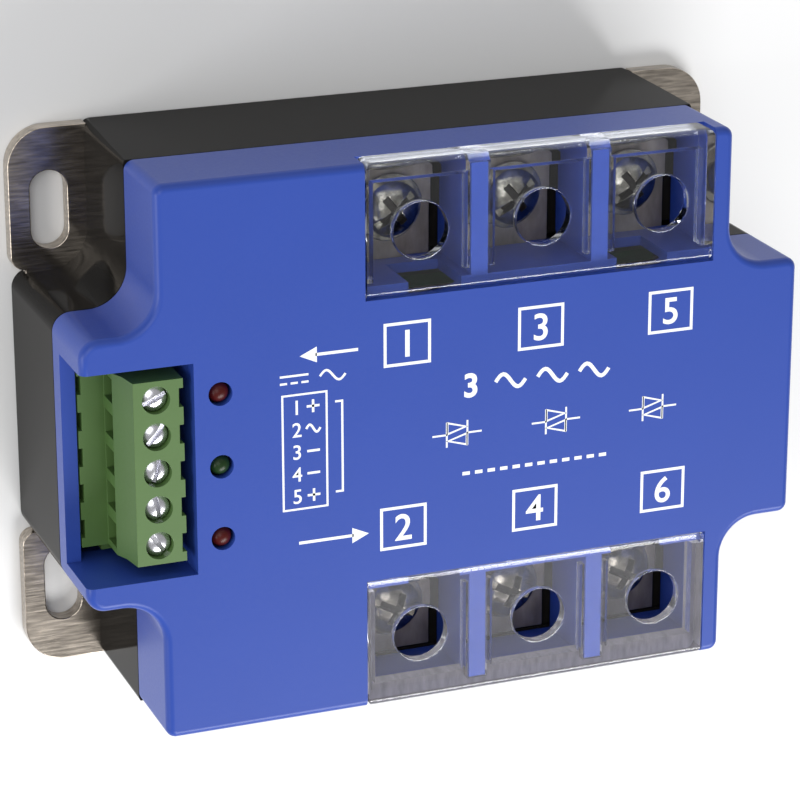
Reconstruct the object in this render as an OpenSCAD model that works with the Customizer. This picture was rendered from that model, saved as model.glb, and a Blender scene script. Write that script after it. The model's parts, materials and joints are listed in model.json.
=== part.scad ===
// Three-phase solid state relay for panel mounting, with hinged terminal covers
// and a pluggable five-pole control connector.
// The relay lies on its base plate: +X runs along the long side away from the
// control connector, +Y points to the input terminals, +Z leaves the face.
// The origin is the middle of the base plate's underside.

/* [Base plate] */
// Length of the metal base plate along X
plate_l = 104; // [103.6:0.1:106]
// Width of the metal base plate along Y
plate_w = 78.2; // [77.8:0.1:78.6]
// Thickness of the base plate
plate_t = 2.4; // [2:0.1:2.6]
// Outer corner radius of the four mounting ears
ear_r = 5.5; // [3:0.1:6]
// Corner radius of an ear beside the wing
foot_r = 2; // [0.5:0.1:2.5]
// Width of a mounting slot
slot_w = 5.2; // [4.4:0.1:5.6]
// Overall length of a mounting slot
slot_l = 11; // [8:0.1:12]
// Distance between the slots' centres along X
slot_dx = 92.8; // [92:0.1:93.4]
// Distance between the slots' centres along Y
slot_dy = 55; // [54:0.1:56]

/* [Housing] */
// Length of the central body along X
body_l = 82.4; // [82:0.1:82.8]
// Width of the central body along Y at the seam
body_w = 77.4; // [77:0.1:78]
// Length across both wings along X
wing_l = 103.2; // [103:0.1:103.6]
// Width of a wing along Y
wing_w = 37.8; // [37.4:0.1:38.2]
// Radius of the concave corners between body and wings
fillet_r = 5.5; // [4:0.1:6]
// Radius of the upright corners of the body and of the wing on +X
corner_r = 1.4; // [1.4:0.1:2]
// Radius of the upright corners of the wing with the control connector
wing_r = 2.6; // [2:0.1:3]
// How far the lower housing flares out at its foot, on each long side
flare = 0.6; // [0.2:0.1:0.8]
// Wall thickness of the plastic parts
wall = 1.8; // [1.6:0.1:2]
// Height of the seam between the housing and the top cover
seam_z = 21.2; // [21:0.1:21.4]
// Height of the face of the top cover
face_z = 34.8; // [34.4:0.1:35.2]
// Radius along the edge of the face
edge_r = 1.1; // [0.6:0.1:1.1]

/* [Power terminals] */
// X position of the middle terminal of each row
term_x = 13; // [12.8:0.1:13.2]
// Distance between neighbouring terminals
term_pitch = 17.6; // [17.4:0.1:17.6]
// Distance of each terminal row from the X axis
term_y = 29; // [28.6:0.1:29.4]
// Width of the wall between two terminal wells
divider_w = 2.4; // [2:0.1:2.8]
// Width of a terminal tab
tab_w = 12.6; // [12:0.1:13.6]
// Thickness of the terminal strip
tab_t = 1.2; // [1:0.1:1.4]
// Shank radius of a terminal screw, size M4
screw_r = 1.95; // [1.95:0.01:1.98]
// Head radius of a terminal screw
head_r = 3.9; // [3.6:0.1:4.2]
// Length of a terminal screw under its head
screw_l = 8; // [7.4:0.1:8.2]
// Radius of the captive washer under the head
washer_r = 4.8; // [4.3:0.1:5]

/* [Terminal covers] */
// Thickness of a clear cover's pane
pane_t = 1.7; // [1.5:0.1:1.8]
// Height of the side walls of a clear cover, face to rim
skirt_h = 4.1; // [3:0.1:5]
// Radius of the screwdriver hole over each terminal
access_r = 3.9; // [3:0.1:4.2]
// Radius of a cover's hinge pins
pin_r = 0.45; // [0.4:0.01:0.5]

/* [Control connector] */
// Number of poles
poles = 5; // [5:1:5]
// Distance between neighbouring poles
pole_pitch = 5.08; // [5.08:0.01:5.08]
// X position of the row of clamping screws
pole_x = -41.4; // [-41.5:0.1:-41.3]
// Y position of the connector's middle
control_y = -0.5; // [-0.6:0.1:-0.3]
// Head radius of a clamping screw
clamp_head_r = 1.75; // [1.6:0.05:1.8]
// Height that a clamp rises when it is tightened
clamp_rise = 1.8; // [1:0.1:1.8]

/* [Indicator lamps] */
// Lens radius of an indicator lamp
lamp_r = 1.5; // [1.4:0.05:1.6]
// X position of the row of lamps
lamp_x = -32.8; // [-33.2:0.1:-32]

/* [Hidden] */
$fn = 48;
eps = 0.01;
seam_gap = 0.2;
run = 0.05;                          // radial clearance of a running fit

cover_z = seam_z + seam_gap;         // underside of the top cover
ceiling_z = face_z - 2;
deck_z = 20.4;                       // the terminal tabs rest on this level
deck_t = 2.2;
tab_z = deck_z + tab_t;
skirt_z = 0.4;                       // foot of the housing around the plate

row_l = 3 * term_pitch - divider_w;  // length of a row of wells
well_l = term_pitch - divider_w;
well_y0 = 21.6;
well_y1 = body_w / 2 - 1.5;
rim_z = face_z - skirt_h;
pane_z = face_z - pane_t;
hinge_y = 21.05;
hinge_z = face_z - pane_t / 2;
pane_l = row_l + 0.2;
latch_l = 7.6;                       // latch slots in the cover's inner wall
latch_dx = 15.2;

board_z = 13.6;
board_t = 1.6;
board_top = board_z + board_t;
board_x0 = -49.6;
board_l = 88;
board_w = 33.2;

plug_w = poles * pole_pitch + 0.2;
plug_top = 34.2;
shelf_z = 24.8;                      // top of the plug's front shelf
ledge_z = 24.6;                      // the top cover's low edge beside it
pocket_w = 29.6;
pocket_x1 = -36.4;
tongue_z = 28;
clamp_dome_r = 3;                    // the clamping screws' heads are domed
clamp_z = 24.4;
clamp_h = 5.3;

substrate_z = plate_t;
substrate_t = 1;
die_z = substrate_z + substrate_t;
gel_z = 8;

ROWS = [1, -1];                      // input row on +Y, output row on -Y
SIDES = [-1, 1];

function wing_corner(s) = s < 0 ? wing_r : corner_r;
function term_at(i) = term_x + (i - 2) * term_pitch;
function pole_at(k) = control_y + (3 - k) * pole_pitch;

// A box given by its corner ranges.
module span(x0, x1, y0, y1, z0, z1) {
    translate([x0, y0, z0]) cube([x1 - x0, y1 - y0, z1 - z0]);
}

// Mirrors its children for the output row.
module on_row(s) {
    mirror([0, s < 0 ? 1 : 0, 0]) children();
}

module rounded_rect(l, w, r) {
    square([l - 2 * r, w], center = true);
    square([l, w - 2 * r], center = true);
    for (sx = SIDES, sy = SIDES)
        translate([sx * (l / 2 - r), sy * (w / 2 - r)]) circle(r);
}

// Plan of the cross-shaped case, moved inwards by t and widened by f on Y.
module case_plan(t = 0, f = 0) {
    rounded_rect(body_l - 2 * t, body_w + 2 * f - 2 * t, max(corner_r - t, 0.4));
    half = wing_l / 2 - t - 5;
    for (s = SIDES) translate([s * (5 + half / 2), 0])
        rounded_rect(half, wing_w - 2 * t, max(wing_corner(s) - t, 0.4));
    for (sx = SIDES, sy = SIDES) scale([sx, sy])
        translate([body_l / 2 - t, wing_w / 2 - t]) difference() {
            square(fillet_r + t);
            translate([fillet_r + t, fillet_r + t]) circle(fillet_r + t);
        }
}

// A block with upright corners of radius r and its top edge rounded by e.
module pillow(l, w, h, r, e) {
    linear_extrude(h - e) rounded_rect(l, w, r);
    linear_extrude(h) rounded_rect(l - 2 * e, w - 2 * e, r - e);
    for (s = SIDES) {
        translate([0, s * (w / 2 - e), h - e]) rotate([0, 90, 0])
            cylinder(r = e, h = l - 2 * r, center = true);
        translate([s * (l / 2 - e), 0, h - e]) rotate([90, 0, 0])
            cylinder(r = e, h = w - 2 * r, center = true);
    }
    for (sx = SIDES, sy = SIDES)
        translate([sx * (l / 2 - r), sy * (w / 2 - r), h - e])
            rotate_extrude() translate([r - e, 0]) intersection() {
                circle(e);
                translate([-min(r - e, e), -e]) square([2 * e, 2 * e]);
            }
}

// Concave corner between body and wing, its top edge rounded by e.
module inner_corner(h, e) {
    difference() {
        translate([-e, -e, 0]) cube([fillet_r + e, fillet_r + e, h]);
        translate([fillet_r, fillet_r, -1]) rotate_extrude() {
            square([fillet_r, h + 2]);
            translate([0, h + 1 - e]) difference() {
                square([fillet_r + e, e + 1]);
                translate([fillet_r + e, 0]) circle(e);
            }
        }
    }
}

module top_cover_shape() {
    h = face_z - cover_z;
    translate([0, 0, cover_z]) {
        pillow(body_l, body_w, h, corner_r, edge_r);
        for (s = SIDES) translate([s * (wing_l / 4 + 2.5), 0, 0])
            pillow(wing_l / 2 - 5, wing_w, h, wing_corner(s), edge_r);
        for (sx = SIDES, sy = SIDES) scale([sx, sy, 1])
            translate([body_l / 2, wing_w / 2, 0]) inner_corner(h, edge_r);
    }
}

module plate_plan() {
    notch_x = body_l / 2 - 0.4;
    notch_y = wing_w / 2 + 0.3;
    difference() {
        rounded_rect(plate_l, plate_w, ear_r);
        for (s = SIDES) {
            translate([0, s * (plate_w / 2 + 4)]) square([2 * notch_x, 10], center = true);
            translate([s * (plate_l / 2 + 3.6), 0]) square([10, 2 * notch_y], center = true);
        }
        for (sx = SIDES, sy = SIDES) scale([sx, sy])
            translate([plate_l / 2 - foot_r, notch_y + foot_r]) difference() {
                translate([0, -foot_r - 1]) square(foot_r + 1);
                circle(foot_r);
            }
    }
}

module mounting_slots() {
    for (sx = SIDES, sy = SIDES) translate([sx * slot_dx / 2, sy * slot_dy / 2, -1]) {
        cube([slot_w, slot_l - slot_w, 2 * plate_t + 2], center = true);
        for (s = SIDES) translate([0, s * (slot_l - slot_w) / 2, 0])
            cylinder(d = slot_w, h = plate_t + 2);
    }
}

module base_plate() {
    color([0.62, 0.6, 0.57]) difference() {
        linear_extrude(plate_t) plate_plan();
        mounting_slots();
    }
}

module seal_ring(z0, z1) {
    translate([0, 0, z0]) linear_extrude(z1 - z0) difference() {
        case_plan(0.75);
        case_plan(1.65);
    }
}

module base_seal() {
    color([0.75, 0.75, 0.72]) seal_ring(plate_t, plate_t + 0.5);
}

// Outer form of the lower housing: the long sides lean out towards the foot.
module housing_shape() {
    y0 = body_w / 2 + flare;
    y1 = body_w / 2;
    intersection() {
        translate([0, 0, skirt_z]) linear_extrude(seam_z - skirt_z) case_plan(0, flare);
        rotate([90, 0, 90]) linear_extrude(wing_l + 2, center = true)
            polygon([[-y0, skirt_z], [y0, skirt_z], [y1, seam_z], [-y1, seam_z]]);
    }
}

module nut_boss(i) {
    translate([term_at(i), term_y, 0])
        span(-6, 6, -6, well_y1 - term_y + 0.2, 12.6, deck_z - deck_t + eps);
}

module nut_pocket(i) {
    translate([term_at(i), term_y, 0]) {
        translate([0, 0, 17.2]) cylinder(r = 7 / sqrt(3), h = 5, $fn = 6);
        translate([0, 0, 13.6]) cylinder(r = screw_r + 0.45, h = 6);
    }
}

module housing() {
    x0 = term_at(1) - well_l / 2 - 1.2;
    color([0.13, 0.13, 0.12]) difference() {
        union() {
            difference() {
                housing_shape();
                translate([0, 0, -1]) linear_extrude(plate_t + 1) plate_plan();
                translate([0, 0, plate_t - eps]) linear_extrude(30) case_plan(wall);
            }
            // decks that carry the terminal tabs, with the nut bosses below them
            for (s = ROWS) on_row(s) {
                span(x0, body_l / 2 - 1, 22, body_w / 2 - 1, deck_z - deck_t, deck_z);
                for (i = [1:3]) nut_boss(i);
            }
            // ribs under the driver board, along both wings
            for (sx = SIDES, sy = SIDES) scale([sx, sy, 1])
                span(38, 48.6, 16.2, wing_w / 2 - 1, 5, board_z);
        }
        for (s = ROWS) on_row(s) for (i = [1:3]) nut_pocket(i);
        seal_ring(plate_t - eps, plate_t + 0.5);
    }
}

// The hollow inside the top cover, around the blocks of wells and the pocket.
module cover_hollow() {
    difference() {
        translate([0, 0, seam_z - 1]) linear_extrude(ceiling_z - seam_z + 1) case_plan(wall);
        for (s = ROWS) on_row(s)
            span(term_x - row_l / 2 - 1.6, 60, well_y0 - 1.4, 60, 0, 60);
        span(-60, pocket_x1 + 1.4, control_y - pocket_w / 2 - 1.4,
             control_y + pocket_w / 2 + 1.4, 0, 60);
    }
}

module wells() {
    x0 = term_x - row_l / 2;
    x1 = term_x + row_l / 2;
    for (i = [1:3])
        span(term_at(i) - well_l / 2, term_at(i) + well_l / 2, well_y0, well_y1, 0, 60);
    // rebate for the pane, cut-out for the cover's side walls and its hinge pins
    span(x0 - 0.3, x1 + 0.3, hinge_y - pane_t / 2 - 0.2, 60, pane_z - 0.1, 60);
    span(x0 - 0.3, x1 + 0.3, well_y1 - 0.1, 60, rim_z - 0.1, 60);
    for (x = [x0 - 0.3, x1 - 1.5])
        span(x, x + 1.8, well_y0, 60, rim_z - 0.1, 60);
    translate([term_x, hinge_y, hinge_z]) rotate([0, 90, 0])
        cylinder(r = pin_r + run, h = row_l + 2.6, center = true);
    // latch slots through the inner wall, under the pane's edge
    for (s = SIDES)
        translate([term_x + s * latch_dx, 0, 0])
            span(-latch_l / 2, latch_l / 2, 19.6, well_y0 + eps, 24.4, pane_z - 0.1 + eps);
    // the rear edge of the tabs passes under the inner wall
    span(x0, x1, 0, well_y0 + 1, 0, tab_z + 0.1);
}

module plug_pocket() {
    y0 = control_y - pocket_w / 2;
    y1 = control_y + pocket_w / 2;
    span(-49.6, pocket_x1, y0, y1, 0, 60);
    span(-60, pocket_x1, y0, y1, ledge_z, 60);
}

// Snap tongues that hold the cover in the housing.
module snap_tongues() {
    for (sx = SIDES, sy = SIDES) scale([sx, sy, 1])
        span(43, 48, wing_w / 2 - wall - 0.8, wing_w / 2 - wall, 17.4, cover_z + 2);
    for (s = SIDES)
        span(-36, -22, s * (body_w / 2 - wall - 0.4) - 0.4, s * (body_w / 2 - wall - 0.4) + 0.4,
             17.4, cover_z + 2);
}

module top_cover() {
    color([0.25, 0.35, 0.72]) difference() {
        union() {
            difference() {
                top_cover_shape();
                cover_hollow();
            }
            snap_tongues();
        }
        for (s = ROWS) on_row(s) wells();
        plug_pocket();
        for (k = SIDES) translate([lamp_x, control_y + k * 2 * pole_pitch, 0])
            cylinder(r = lamp_r + 0.15, h = 60);
        translate([lamp_x, control_y, 0]) cylinder(r = lamp_r + 0.15, h = 60);
    }
}

// Clear hinged cover of one row: pane, three side walls, ribs, pins.
module clear_cover() {
    x0 = term_x - pane_l / 2;
    x1 = term_x + pane_l / 2;
    y1 = body_w / 2;
    w = 1.3;
    difference() {
        union() {
            span(x0, x1, hinge_y, y1, pane_z, face_z);
            translate([term_x, hinge_y, hinge_z]) rotate([0, 90, 0])
                cylinder(r = pane_t / 2, h = pane_l, center = true);
            span(x0, x1, well_y1 + 0.1, y1, rim_z, face_z - eps);
            for (x = [x0, x1 - w]) span(x, x + w, hinge_y + 1, y1, rim_z, face_z - eps);
            // the outer wall is thicker inside each well
            for (i = [1:3]) translate([term_at(i), 0, 0])
                span(-well_l / 2 + 0.3, well_l / 2 - 0.3, well_y1 - 1.4, well_y1 + 0.2,
                     rim_z + 0.2, pane_z + eps);
            // ribs on both flanks of each divider
            for (i = [1, 2], s = SIDES)
                translate([term_at(i) + term_pitch / 2 + s * (divider_w / 2 + 0.6), 0, 0])
                    span(-0.35, 0.35, hinge_y + 1.6, well_y1 - 0.6, pane_z - 1.2, pane_z + eps);
            translate([term_x, hinge_y, hinge_z]) rotate([0, 90, 0])
                cylinder(r = pin_r, h = pane_l + 2, center = true);
        }
        for (i = [1:3]) translate([term_at(i), term_y - 0.1, 0]) cylinder(r = access_r, h = 60);
    }
}

module input_cover() {
    color([0.85, 0.87, 0.92, 0.4]) clear_cover();
}

module output_cover() {
    color([0.85, 0.87, 0.92, 0.4]) on_row(-1) clear_cover();
}

// Terminal strip: tab on the deck, leg down into the housing, foot on the substrate.
module terminal(i, s) {
    yl = well_y0 - tab_t;
    color([0.72, 0.7, 0.66]) on_row(s) translate([term_at(i), 0, 0]) difference() {
        union() {
            span(-tab_w / 2, tab_w / 2, yl, 36.6, deck_z, tab_z);
            span(-4.5, 4.5, yl, yl + tab_t, die_z, tab_z);
            span(-4.5, 4.5, 14, yl + eps, die_z, die_z + tab_t);
        }
        translate([0, term_y, 0]) cylinder(r = screw_r + 0.25, h = 60);
    }
}

module terminal_nuts() {
    color([0.7, 0.7, 0.7]) for (s = ROWS, i = [1:3])
        translate([term_at(i), s * term_y, 17.2]) difference() {
            rotate(s > 0 ? 0 : 180) cylinder(r = 6.9 / sqrt(3), h = 3.2, $fn = 6);
            translate([0, 0, -1]) cylinder(r = screw_r + run, h = 6);
        }
}

module washer(i, s) {
    color([0.75, 0.74, 0.7]) translate([term_at(i), s * term_y, tab_z + run]) difference() {
        cylinder(r = washer_r, h = 0.8);
        translate([0, 0, -1]) cylinder(r = screw_r + 2 * run, h = 3);
    }
}

// Pan head screw with a slot and a cross recess.
module screw(i, s) {
    head_h = 2.9;
    color([0.78, 0.77, 0.73])
        translate([term_at(i), s * term_y, tab_z + 0.8 + 2 * run]) rotate(s > 0 ? 38 : -24)
        difference() {
            union() {
                cylinder(r = head_r, h = 1.3);
                translate([0, 0, 1.3]) intersection() {
                    cylinder(r = head_r, h = head_h - 1.3);
                    translate([0, 0, -4.5]) sphere(sqrt(pow(head_r, 2) + pow(4.5, 2)), $fn = 96);
                }
                translate([0, 0, -screw_l + 0.6]) cylinder(r = screw_r, h = screw_l);
                translate([0, 0, -screw_l]) cylinder(r1 = screw_r - 0.6, r2 = screw_r, h = 0.6 + eps);
            }
            translate([0, 0, head_h - 0.4]) cube([9, 1.1, 1.6], center = true);
            translate([0, 0, head_h - 0.4]) cube([1.1, 4.8, 3], center = true);
            translate([0, 0, head_h - 0.4]) cube([4.8, 1.1, 3], center = true);
        }
}

module substrate(i) {
    color([0.93, 0.93, 0.9]) translate([term_at(i), 0, substrate_z + substrate_t / 2])
        cube([15.6, 40, substrate_t], center = true);
}

module thyristors(i) {
    color([0.35, 0.35, 0.38]) for (s = SIDES)
        translate([term_at(i), s * 8.5, die_z + 0.25]) cube([7.6, 7.6, 0.5], center = true);
}

module gate_pins() {
    color([0.85, 0.72, 0.4]) for (i = [1:3], s = SIDES)
        translate([term_at(i) + 3, s * 2.4, 0]) span(-0.4, 0.4, -0.4, 0.4, die_z, board_z);
}

// Gel around the power parts, filling the foot of the housing.
module potting() {
    color([0.8, 0.82, 0.8]) difference() {
        translate([0, 0, plate_t]) linear_extrude(gel_z - plate_t) case_plan(wall);
        for (i = [1:3]) {
            substrate(i);
            thyristors(i);
            for (s = ROWS) terminal(i, s);
        }
        gate_pins();
        for (sx = SIDES, sy = SIDES) scale([sx, sy, 1])
            span(38, 48.6, 16.2, 30, 5, board_z);
    }
}

module driver_board() {
    color([0.1, 0.4, 0.22]) difference() {
        span(board_x0, board_x0 + board_l, -board_w / 2, board_w / 2, board_z, board_top);
        for (k = [1:poles]) translate([pole_x - 0.6, pole_at(k), 0])
            span(-0.5, 0.5, -0.5, 0.5, 0, 60);
        for (k = [-1:1], s = SIDES) translate([lamp_x, control_y + k * 2 * pole_pitch + s * 1.27, 0])
            span(-0.25, 0.25, -0.25, 0.25, 0, 60);
    }
}

module opto_coupler(i) {
    color([0.12, 0.12, 0.13]) translate([term_at(i), 9, board_top]) {
        span(-4.3, 4.3, -3.2, 3.2, 0.6, 4);
        for (x = [-2.54, 0, 2.54], s = SIDES)
            translate([x, s * 3.5, 0]) span(-0.3, 0.3, -0.5, 0.5, 0, 2.4);
    }
}

module snubber_caps() {
    color([0.75, 0.62, 0.2]) for (i = [1:3])
        translate([term_at(i), -2.5, board_top]) span(-5, 5, -2.4, 2.4, 0, 9.5);
}

module snubber_resistors() {
    color([0.3, 0.45, 0.6]) for (i = [1:3]) translate([term_at(i), -11, board_top + 2.2]) {
        rotate([0, 90, 0]) cylinder(r = 1.9, h = 7, center = true);
        for (s = SIDES) {
            translate([s * 4, 0, 0]) rotate([0, 90, 0]) cylinder(r = 0.35, h = 2.4, center = true);
            translate([s * 5, 0, -2.2]) cylinder(r = 0.35, h = 2.55);
        }
    }
}

// Indicator lamp k: flanged dome on two legs.
module lamp(k) {
    y = control_y + (2 - k) * 2 * pole_pitch;
    top = face_z;
    color(k == 2 ? [0.1, 0.25, 0.08] : [0.3, 0.06, 0.05]) translate([lamp_x, y, 0]) {
        translate([0, 0, top - 5.3]) cylinder(r = lamp_r, h = 5.3 - lamp_r);
        translate([0, 0, top - lamp_r]) sphere(lamp_r);
        translate([0, 0, top - 5.3]) cylinder(r = lamp_r + 0.35, h = 1);
        for (s = SIDES) translate([0, s * 1.27, 0])
            span(-0.25, 0.25, -0.25, 0.25, board_z - 1, top - 5.2);
    }
}

module header_pins() {
    color([0.8, 0.78, 0.7]) for (k = [1:poles]) translate([pole_x - 0.6, pole_at(k), 0])
        span(-0.5, 0.5, -0.5, 0.5, board_z - 1, 22.6);
}

module control_header() {
    y0 = control_y - plug_w / 2 - 1.3;
    y1 = control_y + plug_w / 2 + 1.3;
    color([0.2, 0.42, 0.22]) difference() {
        span(-46.4, -37.4, y0, y1, board_top, 23.2);
        span(-45.4, -38.4, y0 + 1, y1 - 1, board_top + 1.4, 60);
        for (k = [1:poles]) translate([pole_x - 0.6, pole_at(k), 0])
            span(-0.5, 0.5, -0.5, 0.5, 0, 60);
    }
}

// Section of the plug: front shelf, bevelled upper body, nose inside the header.
module plug_section() {
    polygon([
        [-49.4, 19], [-49.4, shelf_z], [-45.8, shelf_z], [-45.8, 29], [-45, 31],
        [-44.5, plug_top], [-37.7, plug_top], [-37.7, 23.5], [-38.7, 23.5],
        [-38.7, 17], [-45.1, 17], [-45.1, 23.5], [-46.7, 23.5], [-46.7, 19]
    ]);
}

module control_plug() {
    color([0.35, 0.5, 0.28]) difference() {
        translate([0, control_y, 0]) rotate([90, 0, 0])
            linear_extrude(plug_w, center = true) plug_section();
        for (k = [1:poles]) translate([0, pole_at(k), 0]) {
            // clamp chamber, contact slot, wire entry, screw hole
            span(-43.5, -39.1, -2.15, 2.15, 24, 31.6);
            span(-43.5, -39.1, -1.7, 1.7, 0, 24 + eps);
            span(-50, -43, -1.7, 1.7, shelf_z + 0.2, 28.8);
            translate([pole_x, 0, 32]) cylinder(r = clamp_head_r + 0.15, h = 9);
            translate([pole_x, 0, 30]) cylinder(r = 1.35, h = 9);
            // notches along both upper edges
            span(-38.3, -36, -1.3, 1.3, 32.4, 60);
            span(-50, -48.9, -1.3, 1.3, 22.4, shelf_z + eps);
        }
    }
}

// Contact k: tongue under the clamping screw, strip, and fingers over the pin.
module contact(k) {
    translate([0, pole_at(k), 0]) {
        span(-43, -39.2, -1.2, 1.2, tongue_z, tongue_z + 0.7);
        span(-39.7, -39.2, -1.2, 1.2, 23.1, tongue_z + 0.7);
        span(-42.95, -39.2, -1.2, 1.2, 23.1, 23.7);
        span(-42.95, -42.55, -1.2, 1.2, 18.4, 23.7);
        span(-41.45, -41.05, -1.2, 1.2, 18.4, 23.7);
    }
}

module plug_contacts() {
    color([0.82, 0.8, 0.74]) for (k = [1:poles]) contact(k);
}

// Cage clamp k: a window frame round the tongue, tapped for its screw.
module clamp(k) {
    color([0.75, 0.74, 0.7]) translate([0, pole_at(k), clamp_z]) difference() {
        span(-43.1, -39.9, -2, 2, 0, clamp_h);
        span(-50, -30, -1.5, 1.5, 1, clamp_h - 0.9);
        translate([pole_x, 0, 0]) cylinder(r = 1.2 + run, h = 20);
    }
}

// Clamping screw k: slotted head that turns in the plug's hole.
module clamp_screw(k) {
    color([0.82, 0.82, 0.8]) translate([pole_x, pole_at(k), 0]) rotate(25 * k) difference() {
        union() {
            intersection() {
                translate([0, 0, 32.05]) cylinder(r = clamp_head_r, h = 3);
                translate([0, 0, 33.75 - clamp_dome_r]) sphere(clamp_dome_r);
            }
            translate([0, 0, tongue_z + 0.8]) cylinder(r = 1.2, h = 33 - tongue_z - 0.8);
        }
        translate([0, 0, 33.5]) cube([5, 0.6, 1.8], center = true);
    }
}

base_plate();
base_seal();
housing();
top_cover();
input_cover();
output_cover();
terminal(1, 1);  // terminal_in_1
terminal(2, 1);  // terminal_in_2
terminal(3, 1);  // terminal_in_3
terminal(1, -1);  // terminal_out_1
terminal(2, -1);  // terminal_out_2
terminal(3, -1);  // terminal_out_3
terminal_nuts();
washer(1, 1);  // washer_in_1
washer(2, 1);  // washer_in_2
washer(3, 1);  // washer_in_3
washer(1, -1);  // washer_out_1
washer(2, -1);  // washer_out_2
washer(3, -1);  // washer_out_3
screw(1, 1);  // screw_in_1
screw(2, 1);  // screw_in_2
screw(3, 1);  // screw_in_3
screw(1, -1);  // screw_out_1
screw(2, -1);  // screw_out_2
screw(3, -1);  // screw_out_3
substrate(1);  // substrate_1
substrate(2);  // substrate_2
substrate(3);  // substrate_3
thyristors(1);  // thyristors_1
thyristors(2);  // thyristors_2
thyristors(3);  // thyristors_3
gate_pins();
potting();
driver_board();
opto_coupler(1);  // opto_coupler_1
opto_coupler(2);  // opto_coupler_2
opto_coupler(3);  // opto_coupler_3
snubber_caps();
snubber_resistors();
lamp(1);  // lamp_1
lamp(2);  // lamp_2
lamp(3);  // lamp_3
control_header();
header_pins();
control_plug();
plug_contacts();
clamp(1);  // clamp_1
clamp(2);  // clamp_2
clamp(3);  // clamp_3
clamp(4);  // clamp_4
clamp(5);  // clamp_5
clamp_screw(1);  // clamp_screw_1
clamp_screw(2);  // clamp_screw_2
clamp_screw(3);  // clamp_screw_3
clamp_screw(4);  // clamp_screw_4
clamp_screw(5);  // clamp_screw_5
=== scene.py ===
import json
import math

import bmesh
import bpy
from mathutils import Matrix, Vector


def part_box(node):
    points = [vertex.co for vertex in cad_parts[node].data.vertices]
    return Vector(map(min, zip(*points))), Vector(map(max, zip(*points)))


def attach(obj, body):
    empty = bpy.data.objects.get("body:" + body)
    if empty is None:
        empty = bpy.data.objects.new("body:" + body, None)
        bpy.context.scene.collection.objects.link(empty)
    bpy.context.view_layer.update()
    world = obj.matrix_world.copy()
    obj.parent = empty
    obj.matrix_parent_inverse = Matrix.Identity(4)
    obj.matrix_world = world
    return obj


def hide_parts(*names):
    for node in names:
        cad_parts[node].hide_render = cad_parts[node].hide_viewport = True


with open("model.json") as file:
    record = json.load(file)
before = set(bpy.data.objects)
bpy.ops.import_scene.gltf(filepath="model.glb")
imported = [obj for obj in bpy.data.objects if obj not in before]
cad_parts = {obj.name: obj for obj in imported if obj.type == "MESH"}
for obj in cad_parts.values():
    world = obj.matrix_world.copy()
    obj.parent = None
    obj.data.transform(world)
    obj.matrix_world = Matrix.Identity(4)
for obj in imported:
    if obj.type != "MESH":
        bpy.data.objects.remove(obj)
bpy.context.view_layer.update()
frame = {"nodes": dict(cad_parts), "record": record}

# Sizes on the object are in mm, and MM turns them into Blender's metres.
MM = 0.001
nodes = frame["nodes"]
scene = bpy.context.scene
scene.view_settings.view_transform = "Standard"


def box_edge(node, corner, axis):
    """One coordinate of a node's box in mm: corner 0 is the lowest, 1 the highest."""
    return round(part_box(node)[corner][axis] / MM, 2)


def box_middle(node, axis):
    return round(sum(corner[axis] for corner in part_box(node)) / 2 / MM, 1)


X, Y, Z = 0, 1, 2
POLES = (1, 2, 3)
ROWS = ("in", "out")
FACE = box_edge("top_cover", 1, Z)
POLE_X = [box_middle(f"screw_in_{i}", X) for i in POLES]
POLE_Y = box_middle("screw_in_2", Y)
LID_OUTER = box_edge("input_cover", 1, Y)
LID_LOW = box_edge("input_cover", 0, Z)
PANE_UNDER = FACE - 1.7

# ---------------------------------------------------------------- camera, light, floor


def add_camera(place, ahead, up, lens, shift):
    """The camera that took the view: its place in mm, the way it looks, and its lens in mm."""
    data = bpy.data.cameras.new("camera")
    data.lens = lens
    data.shift_x, data.shift_y = shift
    data.clip_start, data.clip_end = 0.01, 20
    ob = bpy.data.objects.new("camera", data)
    scene.collection.objects.link(ob)
    z = -Vector(ahead).normalized()
    x = Vector(up).cross(z).normalized()
    y = z.cross(x)
    turn = Matrix((x, y, z)).transposed().to_4x4()
    ob.matrix_world = Matrix.Translation(Vector(place) * MM) @ turn
    scene.camera = ob


add_camera((-154.94, 150.84, 418.96), (0.3518, -0.3211, -0.8793), (0.1168, 0.947, -0.2992),
           146.6, (-0.0558, -0.0507))


def add_light(name, place, aim, size, watts):
    """A soft rectangular lamp; places and sizes in metres."""
    data = bpy.data.lights.new(name, "AREA")
    data.shape = "RECTANGLE"
    data.size, data.size_y = size
    data.energy = watts
    ob = bpy.data.objects.new(name, data)
    scene.collection.objects.link(ob)
    ob.location = Vector(place)
    ob.rotation_euler = (Vector(aim) - ob.location).to_track_quat("-Z", "Y").to_euler()


add_light("key", (0.24, -0.58, 0.52), (0, -0.01, 0.02), (0.6, 0.3), 7.2)
add_light("front", (-0.40, 0.28, 0.95), (0, 0, 0.02), (0.6, 0.6), 2.9)
add_light("side", (-0.75, -0.10, 0.36), (0, 0, 0.02), (0.4, 0.4), 2.8)
add_light("back", (0.1, 0.95, 0.60), (0, 0, 0.02), (1.4, 0.7), 1.6)

world = bpy.data.worlds.new("studio")
scene.world = world
world.use_nodes = True
sky = world.node_tree.nodes["Background"]
sky.inputs["Color"].default_value = (1, 1, 1, 1)
sky.inputs["Strength"].default_value = 0.34

# ---------------------------------------------------------------- materials


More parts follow.
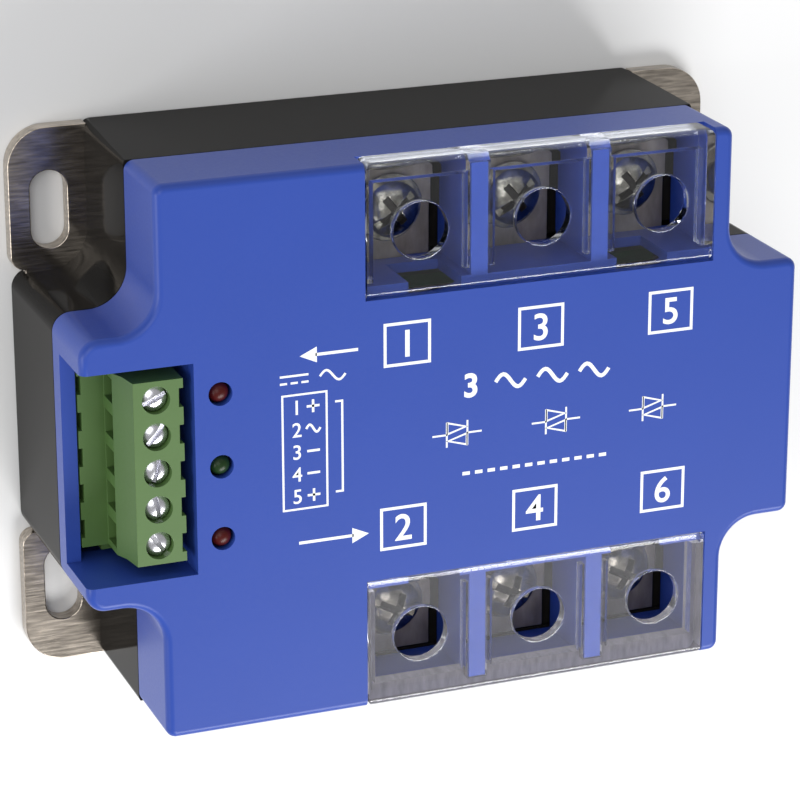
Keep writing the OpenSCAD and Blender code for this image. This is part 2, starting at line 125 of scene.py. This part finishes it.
def material(name, color, rough, metal=0.0, tone=0.05, tone_scale=90.0, vary=0.04,
             grain=1500.0, bump=0.1, depth=0.00002, stretch=(1, 1, 1), streak=(1, 1, 1),
             contrast=1.0, **sockets):
    """A principled material whose tone, roughness and relief come from noise.

    Broad noise of tone_scale, drawn out by streak, varies the colour by tone. Fine noise
    of grain, drawn out by stretch, varies the roughness by vary and makes relief.
    """
    mat = bpy.data.materials.new(name)
    mat.use_nodes = True
    tree = mat.node_tree
    shader = tree.nodes["Principled BSDF"]
    shader.inputs["Metallic"].default_value = metal
    for key, value in sockets.items():
        shader.inputs[key.replace("_", " ")].default_value = value
    coord = tree.nodes.new("ShaderNodeTexCoord")

    broad = tree.nodes.new("ShaderNodeTexNoise")
    broad.inputs["Scale"].default_value = tone_scale
    broad.inputs["Detail"].default_value = 4
    drawn = tree.nodes.new("ShaderNodeMapping")
    drawn.inputs["Scale"].default_value = streak
    tree.links.new(coord.outputs["Object"], drawn.inputs["Vector"])
    tree.links.new(drawn.outputs["Vector"], broad.inputs["Vector"])
    scale = tree.nodes.new("ShaderNodeMapping")
    scale.inputs["Scale"].default_value = stretch
    tree.links.new(coord.outputs["Object"], scale.inputs["Vector"])
    fine = tree.nodes.new("ShaderNodeTexNoise")
    fine.inputs["Scale"].default_value = grain
    fine.inputs["Detail"].default_value = 3
    tree.links.new(scale.outputs["Vector"], fine.inputs["Vector"])

    blend = tree.nodes.new("ShaderNodeMixRGB")
    blend.inputs["Color1"].default_value = [c * (1 - tone) for c in color] + [1]
    blend.inputs["Color2"].default_value = [min(c * (1 + tone), 1) for c in color] + [1]
    push = tree.nodes.new("ShaderNodeMapRange")
    push.inputs["From Min"].default_value = 0.5 - 0.5 / contrast
    push.inputs["From Max"].default_value = 0.5 + 0.5 / contrast
    tree.links.new(broad.outputs["Fac"], push.inputs["Value"])
    tree.links.new(push.outputs["Result"], blend.inputs["Fac"])
    tree.links.new(blend.outputs["Color"], shader.inputs["Base Color"])

    spread = tree.nodes.new("ShaderNodeMapRange")
    spread.inputs["To Min"].default_value = max(rough - vary, 0.0)
    spread.inputs["To Max"].default_value = min(rough + vary, 1.0)
    tree.links.new(fine.outputs["Fac"], spread.inputs["Value"])
    tree.links.new(spread.outputs["Result"], shader.inputs["Roughness"])

    relief = tree.nodes.new("ShaderNodeBump")
    relief.inputs["Strength"].default_value = bump
    relief.inputs["Distance"].default_value = depth
    tree.links.new(fine.outputs["Fac"], relief.inputs["Height"])
    tree.links.new(relief.outputs["Normal"], shader.inputs["Normal"])
    return mat


def lets_lamps_through(mat):
    """Lamps shine straight through a clear cover, so that the wells behind it aren't dark."""
    tree = mat.node_tree
    way = tree.nodes.new("ShaderNodeLightPath")
    plain = tree.nodes.new("ShaderNodeBsdfTransparent")
    plain.inputs["Color"].default_value = (0.70, 0.70, 0.71, 1)
    both = tree.nodes.new("ShaderNodeMixShader")
    tree.links.new(way.outputs["Is Shadow Ray"], both.inputs["Fac"])
    tree.links.new(tree.nodes["Principled BSDF"].outputs["BSDF"], both.inputs[1])
    tree.links.new(plain.outputs["BSDF"], both.inputs[2])
    tree.links.new(both.outputs["Shader"], tree.nodes["Material Output"].inputs["Surface"])


BLUE = material("cover_blue", (0.026, 0.064, 0.335), 0.36, tone=0.04, tone_scale=60, vary=0.05,
                grain=2600, bump=0.22, depth=0.00003, IOR=1.36)
BLACK = material("housing_black", (0.012, 0.011, 0.010), 0.09, tone=0.2, tone_scale=120,
                 vary=0.04, grain=420, bump=0.08, depth=0.00003, IOR=1.09)
# The clear covers: plain, frosted at one cover's outer edge, and for the other cover a
# veil of painted light over the wells, with painted grey on its frosted outer wall.
CLEAR = material("cover_clear", (0.92, 0.945, 0.97), 0.03, tone=0.02, tone_scale=200, vary=0.02,
                 grain=240, bump=0.05, depth=0.00003, Transmission_Weight=1.0, IOR=1.49)
FROST = material("cover_frosted", (0.62, 0.66, 0.74), 0.24, tone=0.20, tone_scale=260, vary=0.10,
                 grain=300, bump=0.5, depth=0.0002, Transmission_Weight=0.95, IOR=1.45,
                 stretch=(0.4, 1.5, 1.5), contrast=2)
# Painted light: a frosted wall whose grey colour stands for the light it scatters.
GREY_BAND_PAINTED = material("cover_frosted_band_painted_grey", (0.17, 0.160, 0.185), 0.55, tone=0.35, tone_scale=520, vary=0.10,
                grain=900, bump=0.6, depth=0.0001, Transmission_Weight=0.35, IOR=1.49,
                streak=(2.2, 0.5, 0.5), contrast=2)
# Painted light: the clear material with a pale diffuse part, which the lamps light into a veil
# over the wells.
LIGHT_VEIL = material("cover_clear_light_veil", (0.93, 0.93, 0.95), 0.04, tone=0.05, tone_scale=300, vary=0.03,
                grain=240, bump=0.08, depth=0.00003, Transmission_Weight=0.963, IOR=1.49)
for glass in (CLEAR, FROST, GREY_BAND_PAINTED, LIGHT_VEIL):
    lets_lamps_through(glass)
PLATE = material("plate_metal", (0.47, 0.415, 0.355), 0.22, 1.0, tone=0.42, tone_scale=2600,
                 vary=0.11, grain=1500, bump=0.20, depth=0.00005, stretch=(0.12, 3, 1),
                 streak=(0.12, 0.9, 1), contrast=2.2)
TAB = material("terminal_metal", (0.36, 0.315, 0.27), 0.46, 1.0, tone=0.35, tone_scale=420,
               vary=0.12, grain=2400, bump=0.3, depth=0.00002, stretch=(1, 0.3, 1),
               streak=(1, 0.4, 1), contrast=2)
SCREW = material("screw_steel", (0.36, 0.335, 0.29), 0.17, 1.0, tone=0.55, tone_scale=700,
                 vary=0.14, grain=2500, bump=0.4, depth=0.00004, contrast=2.4)
# Painted shade: a dark metal for the walls and floors of the terminal screws' slots and crosses,
# where shade falls.
SLOT_SHADE = material("screw_slot_painted_shade", (0.055, 0.050, 0.045), 0.50, 0.8, tone=0.3, tone_scale=900,
                  vary=0.10, grain=2500, bump=0.2)
WHITE_PART = material("ceramic_white", (0.80, 0.80, 0.76), 0.55, tone=0.03, grain=3000)
DIE = material("die_grey", (0.09, 0.09, 0.11), 0.25, 0.6, tone=0.1, grain=2000)
CONTACT = material("contact_metal", (0.62, 0.57, 0.46), 0.28, 1.0, tone=0.12, tone_scale=600,
                   vary=0.08, grain=3000, bump=0.2, depth=0.00001)
GEL = material("gel_clear", (0.80, 0.83, 0.80), 0.15, tone=0.03, grain=120, bump=0.2,
               depth=0.0001, Transmission_Weight=0.8, IOR=1.41)
SEAL = material("seal_silicone", (0.60, 0.60, 0.57), 0.5, tone=0.05, grain=900)
BOARD = material("board_green", (0.012, 0.11, 0.035), 0.32, tone=0.15, tone_scale=700,
                 grain=1800, bump=0.3, depth=0.00003, stretch=(1, 1, 0.1))
CHIP = material("chip_black", (0.02, 0.02, 0.022), 0.5, tone=0.1, grain=5000, bump=0.4)
CAPACITOR = material("capacitor_yellow", (0.52, 0.33, 0.04), 0.4, tone=0.06, grain=1800)
RESISTOR = material("resistor_blue", (0.08, 0.20, 0.36), 0.3, tone=0.06, grain=1500)
LAMP_RED = material("lamp_red", (0.055, 0.005, 0.004), 0.34, tone=0.3, tone_scale=400, grain=900,
                    bump=0.05, IOR=1.30)
LAMP_GREEN = material("lamp_green", (0.010, 0.030, 0.007), 0.34, tone=0.3, tone_scale=400,
                      grain=900, bump=0.05, IOR=1.30)
GREEN = material("plug_green", (0.068, 0.140, 0.034), 0.46, tone=0.07, tone_scale=260, vary=0.06,
                 grain=1900, bump=0.25, depth=0.00003)
PLUG_SCREW = material("plug_screw", (0.80, 0.80, 0.86), 0.26, 1.0, tone=0.12, tone_scale=700,
                      vary=0.08, grain=4000, bump=0.2, depth=0.00001)
PRINT = material("print_white", (0.80, 0.82, 0.84), 0.5, tone=0.04, tone_scale=900, vary=0.08,
                 grain=4000, bump=0.2, depth=0.00001)
FLOOR = material("floor_pale", (0.82, 0.82, 0.82), 0.8, tone=0.01, tone_scale=3, vary=0.02,
                 grain=60, bump=0.02)

SLOT_LOOK = {
    "plate_metal": PLATE, "seal_silicone": SEAL, "housing_black": BLACK, "cover_blue": BLUE,
    "cover_clear": CLEAR, "terminal_metal": TAB, "screw_steel": SCREW,
    "ceramic_white": WHITE_PART, "die_grey": DIE, "contact_metal": CONTACT, "gel_clear": GEL,
    "board_green": BOARD, "chip_black": CHIP, "capacitor_yellow": CAPACITOR,
    "resistor_blue": RESISTOR, "lamp_red": LAMP_RED, "lamp_green": LAMP_GREEN,
    "plug_green": GREEN, "plug_screw": PLUG_SCREW,
}

node_slot = {part["node"]: part["material_slot"] for part in frame["record"]["subparts"]}
node_body = {n: body for body, members in frame["record"]["behaviour"]["bodies"].items()
             for n in members}
for name, ob in nodes.items():
    for held in ob.material_slots:
        held.material = SLOT_LOOK[node_slot[name]]

floor_mesh = bpy.data.meshes.new("floor")
floor_mesh.from_pydata([(-3, -3, 0), (3, -3, 0), (3, 3, 0), (-3, 3, 0)], [], [(0, 1, 2, 3)])
floor = bpy.data.objects.new("floor", floor_mesh)
scene.collection.objects.link(floor)
floor.location.z = -0.00005
floor.data.materials.append(FLOOR)

# ---------------------------------------------------------------- pieces


def new_piece(name, bm, look, body):
    """Make an object of a finished bmesh, riding on a body."""
    mesh = bpy.data.meshes.new(name)
    bm.to_mesh(mesh)
    bm.free()
    ob = bpy.data.objects.new(name, mesh)
    scene.collection.objects.link(ob)
    mesh.materials.append(look)
    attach(ob, body)
    return ob


SAME_POINT = 2e-6
FLAT = math.radians(0.6)
CREASE = math.radians(38)


def rounded(node, steps, sharp=35):
    """A copy of a CAD node with its edges eased: steps of (width in mm, segments, test)."""
    bm = bmesh.new()
    bm.from_mesh(nodes[node].data)
    bmesh.ops.remove_doubles(bm, verts=bm.verts, dist=SAME_POINT)
    bmesh.ops.dissolve_limit(bm, angle_limit=FLAT, verts=bm.verts, edges=bm.edges)
    for width, segments, test in steps:
        edges = [e for e in bm.edges if len(e.link_faces) == 2
                 and e.calc_face_angle(0) > math.radians(sharp)
                 and test(e.verts[0].co / MM, e.verts[1].co / MM)]
        bmesh.ops.bevel(bm, geom=edges, offset=width * MM, offset_type="OFFSET",
                        segments=segments, profile=0.5, affect="EDGES", clamp_overlap=True)
    for face in bm.faces:
        face.smooth = True
    for e in bm.edges:
        if len(e.link_faces) == 2 and e.calc_face_angle(0) > CREASE:
            e.smooth = False
    slot = node_slot[node]
    piece = new_piece(node + "_eased", bm, SLOT_LOOK[slot], node_body[node])
    weighted = piece.modifiers.new("weighted", "WEIGHTED_NORMAL")
    weighted.keep_sharp = True
    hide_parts(node)
    return piece


# Tests of an edge by its two ends, in mm.


def anywhere(a, b):
    return True


def top_of_cover(a, b):
    return min(a.z, b.z) > 30


def seam(a, b):
    """The lower rim of the blue cover, where it meets the black housing."""
    return max(a.z, b.z) < 21.5


def outer_edge(a, b):
    """The clear covers' long outer edge and the two corners below its ends."""
    return min(abs(a.y), abs(b.y)) > LID_OUTER - 0.2 and max(a.z, b.z) > FACE - 0.2


PANE_HOLE_Y = POLE_Y - 0.1
PANE_HOLE_R = 3.9


def on_hole_rim(p):
    return any(abs(math.hypot(p.x - x, abs(p.y) - PANE_HOLE_Y) - PANE_HOLE_R) < 0.06
               for x in POLE_X)


def hole_rim(a, b):
    """The rims of the three screwdriver holes in a clear cover's pane."""
    return on_hole_rim(a) and on_hole_rim(b) and abs(a.z - b.z) < 0.01


def clear_cover(node):
    """An eased cover whose faces are frosted, painted grey, veiled with painted light or clear
    by where they lie.
    """
    lid = rounded(node, [(1.0, 4, outer_edge), (0.55, 3, hole_rim), (0.18, 2, anywhere)],
                  sharp=50)
    for look in (FROST, GREY_BAND_PAINTED, LIGHT_VEIL):
        lid.data.materials.append(look)
    frost, band, veiled = 1, 2, 3
    for face in lid.data.polygons:
        centre = face.center / MM
        outer_wall = centre.y < 3.0 - LID_OUTER and centre.z < PANE_UNDER + 0.1
        underside = face.normal.z < -0.9 and centre.z < LID_LOW + 0.8
        if centre.y > LID_OUTER - 0.5:
            face.material_index = frost
        # Painted light: on the other cover the outer wall and underside get the painted grey,
        # the rest the painted veil of light.
        elif centre.y < 0:
            face.material_index = band if outer_wall or underside else veiled


HEAD_R = 3.9
SLOT_FLOOR = 1.05
CROSS_FLOOR = 2.1


def terminal_screw(node):
    """An eased screw with painted shade, a dark material, on the walls and floors in its slot
    and cross.
    """
    screw = rounded(node, [(0.1, 2, anywhere)])
    low, high = (Vector(corner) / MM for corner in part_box(node))
    axis = (low + high) / 2
    screw.data.materials.append(SLOT_SHADE)
    for face in screw.data.polygons:
        centre = face.center / MM
        from_axis = math.hypot(centre.x - axis.x, centre.y - axis.y)
        under_top = high.z - centre.z
        wall = abs(face.normal.z) < 0.5 and under_top < CROSS_FLOOR
        bottom = face.normal.z > 0.9 and SLOT_FLOOR < under_top < CROSS_FLOOR
        if from_axis < HEAD_R - 0.2 and (wall or bottom):
            face.material_index = 1


rounded("base_plate", [(0.45, 3, anywhere)])
rounded("housing", [(0.2, 2, anywhere)])
rounded("top_cover", [(0.18, 2, top_of_cover), (0.3, 2, seam)])
clear_cover("input_cover")
clear_cover("output_cover")
rounded("control_plug", [(0.12, 2, anywhere)])
for row in ROWS:
    for i in POLES:
        terminal_screw(f"screw_{row}_{i}")
        rounded(f"washer_{row}_{i}", [(0.15, 2, anywhere)])
        rounded(f"terminal_{row}_{i}", [(0.18, 2, anywhere)])
for k in range(1, 6):
    rounded(f"clamp_screw_{k}", [(0.08, 2, anywhere)])

# ---------------------------------------------------------------- white print on the face

# The print's lower and upper height, and a capital's height at font size 1.
INK = (FACE - 0.01, FACE + 0.02)
CAPITAL = 0.73


def ribbon(bm, points, width, closed=False):
    """A flat stroke of even width along points in mm, with mitred corners."""
    pts = [Vector(p) for p in points]
    count = len(pts)
    sides = []
    for i, p in enumerate(pts):
        before = pts[i - 1] if closed or i else None
        after = pts[(i + 1) % count] if closed or i < count - 1 else None
        along = [(q - r).normalized() for q, r in ((p, before), (after, p))
                 if q is not None and r is not None]
        normals = [Vector((-d.y, d.x)) for d in along]
        mitre = sum(normals, Vector((0, 0))).normalized()
        reach = width / 2 / max(mitre.dot(normals[0]), 0.35)
        sides.append((p + mitre * reach, p - mitre * reach))
    rings = [[bm.verts.new((q.x * MM, q.y * MM, z * MM)) for q, z in
              ((a, INK[1]), (b, INK[1]), (b, INK[0]), (a, INK[0]))] for a, b in sides]
    for i in range(count if closed else count - 1):
        one, two = rings[i], rings[(i + 1) % count]
        for k in range(4):
            bm.faces.new((one[k], one[(k + 1) % 4], two[(k + 1) % 4], two[k]))
    if not closed:
        bm.faces.new(rings[0][::-1])
        bm.faces.new(rings[-1])


def prism(bm, points):
    """A filled flat shape."""
    top = [bm.verts.new((x * MM, y * MM, INK[1] * MM)) for x, y in points]
    low = [bm.verts.new((x * MM, y * MM, INK[0] * MM)) for x, y in points]
    bm.faces.new(top)
    bm.faces.new(low[::-1])
    for i in range(len(points)):
        j = (i + 1) % len(points)
        bm.faces.new((top[j], top[i], low[i], low[j]))


def numeral(bm, text, height, x, y, weight):
    """Figures centred on x, y; weight thickens their strokes."""
    data = bpy.data.curves.new("numeral", "FONT")
    data.body = text
    data.size = height / CAPITAL
    data.align_x = "CENTER"
    data.resolution_u = 6
    data.offset = weight
    data.extrude = (INK[1] - INK[0]) / 2
    ob = bpy.data.objects.new("numeral", data)
    scene.collection.objects.link(ob)
    mesh = bpy.data.meshes.new_from_object(
        ob.evaluated_get(bpy.context.evaluated_depsgraph_get()))
    low = min(v.co.y for v in mesh.vertices)
    high = max(v.co.y for v in mesh.vertices)
    middle = Vector((0, (low + high) / 2, 0))
    place = Vector((x, y, sum(INK) / 2))
    for v in mesh.vertices:
        v.co = (v.co - middle + place) * MM
    bm.from_mesh(mesh)
    bpy.data.objects.remove(ob)
    bpy.data.meshes.remove(mesh)


def close_print(name, bm):
    bmesh.ops.remove_doubles(bm, verts=bm.verts, dist=1e-8)
    bmesh.ops.recalc_face_normals(bm, faces=bm.faces)
    new_piece(name, bm, PRINT, "case")


def frame_of(x, y, w, h):
    return [(x - w / 2, y - h / 2), (x + w / 2, y - h / 2),
            (x + w / 2, y + h / 2), (x - w / 2, y + h / 2)]


def wave(x, y, w, h, steps=16):
    """One period of a sine, the sign for alternating current."""
    return [(x + w * (t / steps - 0.5), y + h / 2 * math.sin(t / steps * 2 * math.pi))
            for t in range(steps + 1)]


# boxed numbers 1, 3, 5 and 2, 4, 6 beside the wells
NUMBER_STEP = 19.4
marks = bmesh.new()
for i in range(3):
    for x, y, text in ((-6.6 + NUMBER_STEP * i, 13.5, str(2 * i + 1)),
                       (-7.2 + NUMBER_STEP * i, -12.7, str(2 * i + 2))):
        ribbon(marks, frame_of(x, y, 6.35, 5.75), 0.42, closed=True)
        numeral(marks, text, 3.9, x, y, weight=0.06)
close_print("print_terminal_numbers", marks)

# the list of the control connector's poles, with a sign for each
LIST_TOP = 6.4
LIST_STEP = 3.15
NUMBER_X = -22.3
SIGN_X = -20.0
SIGN_HALF = 0.9
BRACKET_X = -15.9
SIGNS = ("plus", "wave", "bar", "bar", "plus")
list_y = [LIST_TOP - LIST_STEP * k for k in range(len(SIGNS))]
marks = bmesh.new()
ribbon(marks, frame_of(-21.2, 0.1, 6.2, 16.2), 0.28, closed=True)
for k, y in enumerate(list_y):
    numeral(marks, str(k + 1), 2.1, NUMBER_X, y, weight=0.02)
for sign, y in zip(SIGNS, list_y):
    if sign == "wave":
        ribbon(marks, wave(SIGN_X, y, 2.0, 1.1), 0.32)
        continue
    ribbon(marks, [(SIGN_X - SIGN_HALF, y), (SIGN_X + SIGN_HALF, y)], 0.34)
    if sign == "plus":
        ribbon(marks, [(SIGN_X, y + SIGN_HALF), (SIGN_X, y - SIGN_HALF)], 0.34)
ribbon(marks, [(BRACKET_X - 1, 6.6), (BRACKET_X, 6.6), (BRACKET_X, -6.2), (BRACKET_X - 1, -6.2)],
       0.3)
close_print("print_control_numbers", marks)

# arrows towards and from the control side, and the signs for direct and alternating current
marks = bmesh.new()
ribbon(marks, [(-13.6, 13.5), (-19.6, 13.5)], 0.42)
prism(marks, [(-19.4, 14.6), (-21.8, 13.5), (-19.4, 12.4)])
ribbon(marks, [(-24.6, 10.9), (-20.6, 10.9)], 0.3)
for x in (-24.6, -23.1, -21.6):
    ribbon(marks, [(x, 9.9), (x + 1.0, 9.9)], 0.3)
ribbon(marks, wave(-17.2, 10.4, 3.6, 1.5), 0.32)
ribbon(marks, [(-22.2, -12.9), (-14.4, -12.9)], 0.42)
prism(marks, [(-14.6, -11.8), (-12.2, -12.9), (-14.6, -14.0)])
close_print("print_arrows", marks)

# the number of phases, three antiparallel thyristor signs and a dashed line
THIN = 0.26
BAR = 1.5
marks = bmesh.new()
numeral(marks, "3", 3.4, 2.6, 6.4, weight=0.12)
for k in range(3):
    ribbon(marks, wave(8.4 + 6.2 * k, 6.4, 4.4, 2.0), 0.55)
for k in range(3):
    x = 0.6 + 14.6 * k
    ribbon(marks, [(x - 3.6, -0.3), (x - BAR, -0.3)], THIN)
    ribbon(marks, [(x + BAR, -0.3), (x + 3.6, -0.3)], THIN)
    ribbon(marks, [(x - BAR, 1.5), (x - BAR, -2.1)], THIN)
    ribbon(marks, [(x + BAR, 1.5), (x + BAR, -2.1)], THIN)
    ribbon(marks, [(x - 1.4, 1.4), (x + 1.3, 0.6), (x - 1.4, -0.2)], THIN, closed=True)
    ribbon(marks, [(x + 1.4, -2.0), (x - 1.3, -1.2), (x + 1.4, -0.4)], THIN, closed=True)
for k in range(12):
    x = 1.4 + 1.85 * k
    ribbon(marks, [(x, -6.2), (x + 1.1, -6.2)], 0.5)
close_print("print_diagram", marks)
